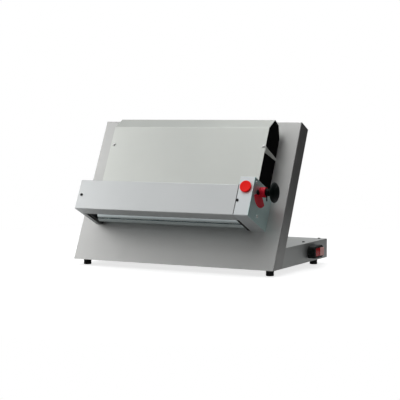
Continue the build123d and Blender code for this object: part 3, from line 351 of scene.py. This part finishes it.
finishes = {
    steel_panel: ("panel_shell", "panel_back_cover"),
    steel_base: (
        "base_side_walls", "base_rear_wall", "base_top_frame", "base_top_cover", "base_bottom_plate",
    ),
    steel_head: ("front_cover", "left_end_cover", "rear_infeed_guide", "front_infeed_guide"),
    steel_housing: ("right_housing",),
    steel_side_shade_tinted: ("right_side_plate",),
    steel_hood: ("hood_sheet", "hood_tabs"),
    steel_roller: (
        "front_roller_sleeve", "rear_roller_sleeve", "rear_scraper", "front_scraper",
    ),
    steel_plated: (
        "cheek_bolts", "pivot_pins", "motor_bracket", "left_swing_arm", "right_swing_arm",
        "tie_bar", "output_shaft", "knob_shaft", "front_roller_shaft", "rear_roller_shaft",
        "tail_spring", "gap_cam",
    ),
    steel_gear: ("front_roller_gear", "rear_roller_gear"),
    black_alloy: ("left_cheek", "right_cheek"),
    cast_alloy: ("gearbox", "roller_pulley", "motor_pulley"),
    bush_bronze: ("rear_roller_bushes", "front_roller_bushes", "knob_bushes"),
    black_screw: ("cover_screws",),
    cheek_black: ("hood_cheek_left", "hood_cheek_right"),
    knob_black: ("gap_knob", "knob_pointer"),
    switch_black: ("switch_housing", "stop_collar"),
    inner_black: ("cable_gland", "control_box", "stop_contact_block"),
    motor_paint: ("motor",),
    stop_red: ("stop_button",),
    dial_red: ("scale_plate",),
    rocker_red: ("main_rocker",),
    foot_rubber: ("foot_front_left", "foot_front_right", "foot_rear_left", "foot_rear_right"),
    belt_rubber: ("drive_belt",),
}
for finish, names in finishes.items():
    for name in names:
        for slot in nodes[name].material_slots:
            slot.material = finish


# ---------------------------------------------------------------- rubber feet
def rubber_foot(corner):
    """Moulded foot with a hollow sole and a groove round it, and the stud that it screws on by."""
    low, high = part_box(f"foot_{corner}")
    sole = Vector(((low.x + high.x) / 2, (low.y + high.y) / 2, low.z))
    radius = (high.x - low.x) / 2
    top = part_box("base_bottom_plate")[0].z
    hollow = 0.0008
    groove = 0.0007
    stud = 0.003
    profile = [
        (0, hollow), (radius * 0.55, hollow), (radius * 0.62, 0), (radius - 0.0018, 0),
        (radius - 0.0005, 0.0006), (radius, 0.0020), (radius, top * 0.36),
        (radius - groove, top * 0.38), (radius - groove, top * 0.44), (radius, top * 0.46),
        (radius, top - 0.0014), (radius - 0.0004, top - 0.0004), (radius - 0.0014, top),
        (stud, top), (stud, high.z), (0, high.z),
    ]
    return turned(profile, sole, (0, 0, 1))


for corner in ("front_left", "front_right", "rear_left", "rear_right"):
    piece(
        f"rubber_foot_{corner}", rubber_foot(corner), "frame", foot_rubber,
        [f"foot_{corner}"],
    )


# ---------------------------------------------------------------- gap knob
def domed_knob():
    """Knob with a bored hub, a flared back, a round rim and a domed face with a ring in it."""
    low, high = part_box("gap_knob")
    length = high.x - low.x
    radius = (high.z - low.z) / 2
    foot = Vector((low.x, (low.y + high.y) / 2, (low.z + high.z) / 2))
    hub = 0.0110
    bore = 0.0060
    bore_end = 0.0295
    profile = [
        (0, bore_end), (bore, bore_end), (bore, 0), (hub - 0.0010, 0), (hub, 0.0010), (hub, 0.0140),
        (hub + 0.0010, 0.0160), (hub + 0.0040, 0.0174), (hub + 0.0100, 0.0186),
        (radius - 0.0050, 0.0197), (radius - 0.0018, 0.0205), (radius - 0.0004, 0.0219),
        (radius, 0.0236), (radius - 0.0003, 0.0256), (radius - 0.0014, 0.0270),
        (radius - 0.0034, 0.0281), (radius * 0.80, 0.0300), (radius * 0.62, 0.0319),
        (radius * 0.60, 0.0315), (radius * 0.57, 0.0315), (radius * 0.55, 0.0325),
        (radius * 0.35, 0.0337), (radius * 0.15, length - 0.0002), (0, length),
    ]
    return turned(profile, foot, across_way, steps=96)


piece("domed_knob", domed_knob(), "gap_setting", knob_black, ["gap_knob"])


# ---------------------------------------------------------------- index plug beside the dial
def index_plug():
    """Low round plug pressed into the side plate, below and ahead of the knob's shaft."""
    below_shaft = 0.0089
    ahead_of_shaft = 0.0210
    sunk = 0.0008
    foot = place_of("knob_bushes") - up_way * below_shaft + out_way * ahead_of_shaft
    foot.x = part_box("right_side_plate")[1].x - sunk
    stem = 0.0030
    radius = 0.0078
    profile = [
        (0, 0), (stem, 0), (stem, sunk), (radius - 0.0004, sunk), (radius, 0.0012), (radius, 0.0030),
        (radius - 0.0006, 0.0040), (radius - 0.0018, 0.0044), (stem + 0.0004, 0.0046),
        (stem, 0.0042), (0, 0.0042),
    ]
    return turned(profile, foot, across_way, steps=48)


piece("index_plug", index_plug(), "frame", switch_black)


# ---------------------------------------------------------------- dark strip of painted shade in the seam of the head
def seam_shade_strip():
    """Dark strip of painted shade for the shadow in the gap between the front cover and the housing, up its
    front and over its top.
    """
    half_width = 0.0011
    proud = 0.0004
    deep = 0.0010
    over_top = 0.0130
    above_bend = 0.0025
    points = points_of("front_cover")
    front = span(points, out_way)[1]
    low, high = span(points, up_way)
    low += above_bend
    back = front - over_top
    seam_x = (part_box("front_cover")[1].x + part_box("right_housing")[0].x) / 2
    outline = (
        (low, front + proud), (high + proud, front + proud), (high + proud, back), (high - deep, back),
        (high - deep, front - deep), (low, front - deep),
    )
    left = across_way * (seam_x - half_width)
    corners = [up_way * up + out_way * out + left for up, out in outline]
    return rounded(drawn_out(corners, across_way * (2 * half_width)), 0.0002, segments=2)


piece("seam_painted_shade", seam_shade_strip(), "frame", belt_rubber)

# ---------------------------------------------------------------- stop button
stop_stem = 0.006
cap_points = points_of("stop_button")
cap_top = span(cap_points, out_way)[1]
cap_face = [point for point in cap_points if point.dot(out_way) > cap_top - 0.0001]
cap_middle = sum(cap_face, Vector()) / len(cap_face)


def stop_cap():
    """Flat push cap with a shallow ring near its edge, on the top of its stem."""
    radius = half_span(cap_points, across_way)
    deep = 0.0035
    stem_end = deep + 0.012
    ring = 0.0003
    profile = [
        (0, -ring), (radius * 0.80, -ring), (radius * 0.86, -0.0001), (radius * 0.92, -0.0001),
        (radius - 0.0007, -0.0004), (radius - 0.0001, -0.0011), (radius, -0.0018),
        (radius - 0.0002, 0.0004 - deep), (radius - 0.0008, -deep), (stop_stem, -deep),
        (stop_stem, -stem_end), (0, -stem_end),
    ]
    return turned(profile, cap_middle, out_way, steps=96)


def stop_ring():
    """Collar that the stop button's stem goes through."""
    collar_points = points_of("stop_collar")
    low, high = span(collar_points, out_way)
    rise = high - low
    radius = half_span(collar_points, across_way)
    hole = stop_stem + 0.0001
    profile = [
        (hole, 0), (radius, 0), (radius, rise * 0.5), (radius - 0.0004, rise),
        (stop_stem + 0.0006, rise), (hole, rise * 0.6), (hole, 0),
    ]
    return turned(profile, cap_middle - out_way * (cap_top - low), out_way)


piece("stop_cap", stop_cap(), "stop_button", stop_red, ["stop_button"])
piece("stop_ring", stop_ring(), "frame", switch_black, ["stop_collar"])


# ---------------------------------------------------------------- pan-head screws
def pan_head(shape, middle, axis, length):
    """One pan-head screw with a six-sided socket; middle is the middle of its length."""
    radius = 0.0045
    rise = 0.0026
    shank = 0.0025
    socket = 0.0016
    socket_floor = rise - 0.0014
    head = middle + axis * (length / 2 - rise)
    profile = [
        (0, socket_floor), (socket, socket_floor), (socket, rise), (0.0030, rise),
        (0.0039, rise - 0.0004), (0.0044, rise - 0.0011), (radius, rise - 0.0018), (radius, 0),
        (shank, 0), (shank, rise - length), (0, rise - length),
    ]
    screw = turned(profile, head, axis, steps=36)
    start = axis.orthogonal().normalized()
    sixth = math.radians(60)
    for point in screw.verts:
        arm = point.co - head
        arm -= axis * arm.dot(axis)
        if abs(arm.length - socket) < 1e-5:
            turn = arm.angle(start) % sixth - sixth / 2
            point.co += arm * (math.cos(sixth / 2) / math.cos(turn) - 1)
    fresh = bpy.data.meshes.new("screw")
    screw.to_mesh(fresh)
    screw.free()
    shape.from_mesh(fresh)
    bpy.data.meshes.remove(fresh)


def screw_heads():
    """All cover screws as two meshes: dark ones, and plated ones on the hood and the side plate."""
    dark = bmesh.new()
    plated = bmesh.new()
    hood_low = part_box("hood_sheet")[0].z
    ways = (out_way, across_way, Vector((0, 0, 1)))
    for points in solids_of("cover_screws"):
        axis = min(ways, key=lambda way: half_span(points, way))
        low, high = span(points, axis)
        middle = sum(points, Vector()) / len(points)
        middle += axis * ((low + high) / 2 - middle.dot(axis))
        on_hood = axis is out_way and middle.z > hood_low
        heads = plated if on_hood or axis is across_way else dark
        pan_head(heads, middle, axis, high - low)
    return dark, plated


dark_heads, plated_heads = screw_heads()
piece("dark_screw_heads", dark_heads, "frame", black_screw, ["cover_screws"])
piece("plated_screw_heads", plated_heads, "frame", steel_screw)


# ---------------------------------------------------------------- rocker of the main switch
def rocker_cap():
    """Rocker with a curved saddle top, tilted halfway between its two positions."""
    pivot = Vector(joints["main_rocker_tilt"]["pos_m"])
    tilt = math.radians(joints["main_rocker_tilt"]["range_deg"][1] / 2)
    half_length = 0.026
    half_height = 0.0125
    crown = 0.0045
    heel = 0.004
    steps = 24
    outline = []
    for step in range(steps + 1):
        share = 2 * step / steps - 1
        rise = crown + half_length * math.tan(tilt) * abs(share) ** 1.35
        outline.append((share * half_length, rise))
    outline += [
        (half_length, crown - 0.002), (heel, -heel), (-heel, -heel), (-half_length, crown - 0.002),
    ]
    along = Vector((math.sin(tilt), math.cos(tilt), 0))
    outward = Vector((math.cos(tilt), -math.sin(tilt), 0))
    top = pivot + Vector((0, 0, half_height))
    corners = [top + along * a + outward * b for a, b in outline]
    return rounded(drawn_out(corners, Vector((0, 0, -2 * half_height))), 0.0006, sharper_than=40)


piece("rocker_cap", rocker_cap(), "main_rocker", rocker_red, ["main_rocker"])


# ---------------------------------------------------------------- floor
def build_floor():
    """Pale round floor that fades out at its rim, white to the camera and grey to the light."""
    mesh = bpy.data.meshes.new("floor")
    shape = bmesh.new()
    bmesh.ops.create_circle(shape, cap_ends=True, segments=96, radius=1.5)
    shape.to_mesh(mesh)
    shape.free()
    floor = bpy.data.objects.new("floor", mesh)
    collection.objects.link(floor)
    made = bpy.data.materials.new("pale_floor")
    made.use_nodes = True
    tree = made.node_tree
    tree.nodes.remove(tree.nodes["Principled BSDF"])
    place = given(tree, "ShaderNodeTexCoord", "Object")
    seen = given(tree, "ShaderNodeLightPath", "Is Camera Ray")
    reach = place.node("ShaderNodeVectorMath", {0: place}, output=1, operation="LENGTH")
    diffuse = place.node("ShaderNodeBsdfDiffuse", {"Color": (0.5, 0.5, 0.5, 1)})
    glow = place.node("ShaderNodeEmission", {"Color": (1, 1, 1, 1), "Strength": seen * 0.72 + 0.04})
    lit = place.node("ShaderNodeAddShader", {0: diffuse, 1: glow})
    clear = place.node("ShaderNodeBsdfTransparent", {})
    mixed = place.node("ShaderNodeMixShader", {0: reach.spread(0.6, 1.4), 1: lit, 2: clear})
    mixed.into(tree.nodes["Material Output"].inputs["Surface"])
    mesh.materials.append(made)


build_floor()


# ---------------------------------------------------------------- light
def softbox(name, bearing, rise, distance, size, power):
    """Square soft light aimed at the machine: bearing in degrees from its front toward +X."""
    light = bpy.data.lights.new(name, "AREA")
    light.size = size
    light.energy = power
    holder = bpy.data.objects.new(name, light)
    turn, climb = math.radians(bearing), math.radians(rise)
    way = Vector((math.sin(turn) * math.cos(climb), -math.cos(turn) * math.cos(climb), math.sin(climb)))
    holder.location = Vector((0, 0, 0.25)) + way * distance
    holder.rotation_euler = (-way).to_track_quat("-Z", "Y").to_euler()
    collection.objects.link(holder)


def build_world():
    """Sky that lightens toward the top for the light, and plain white for the camera."""
    world = bpy.data.worlds.new("studio")
    bpy.context.scene.world = world
    world.use_nodes = True
    tree = world.node_tree
    sky = tree.nodes["Background"]
    sky.inputs["Color"].default_value = (0.97, 0.99, 1.0, 1)
    way = given(tree, "ShaderNodeTexCoord", "Generated")
    camera_ray = given(tree, "ShaderNodeLightPath", "Is Camera Ray")
    way.part("Z").spread(0, 1, 0, 0.54).into(sky.inputs["Strength"])
    backdrop = way.node("ShaderNodeBackground", {"Color": (1, 1, 1, 1), "Strength": 1.0})
    sky_light = Field(tree, sky.outputs[0])
    studio = way.node("ShaderNodeMixShader", {0: camera_ray, 1: sky_light, 2: backdrop})
    studio.into(tree.nodes["World Output"].inputs["Surface"])


softbox("near_left", bearing=-70, rise=25, distance=1.5, size=0.8, power=3.4)
softbox("front_left", bearing=-50, rise=18, distance=3.2, size=1.4, power=12.4)
softbox("top_front", bearing=0, rise=60, distance=3.2, size=1.8, power=13)
softbox("top_left", bearing=-45, rise=75, distance=3.2, size=1.8, power=16.8)
softbox("overhead", bearing=0, rise=85, distance=3.2, size=2.0, power=10.3)
softbox("rear_top", bearing=180, rise=45, distance=3.2, size=1.4, power=16)
build_world()

# ---------------------------------------------------------------- camera
camera = bpy.data.cameras.new("camera")
camera.lens = 112.7
camera.sensor_width = 36
eye = bpy.data.objects.new("camera", camera)
eye.location = (1.8335, -3.499, 0.4737)
eye.rotation_euler = (math.radians(90 - 3.92), 0, math.radians(27.70))
collection.objects.link(eye)
bpy.context.scene.camera = eye
bpy.context.scene.view_settings.view_transform = "Standard"
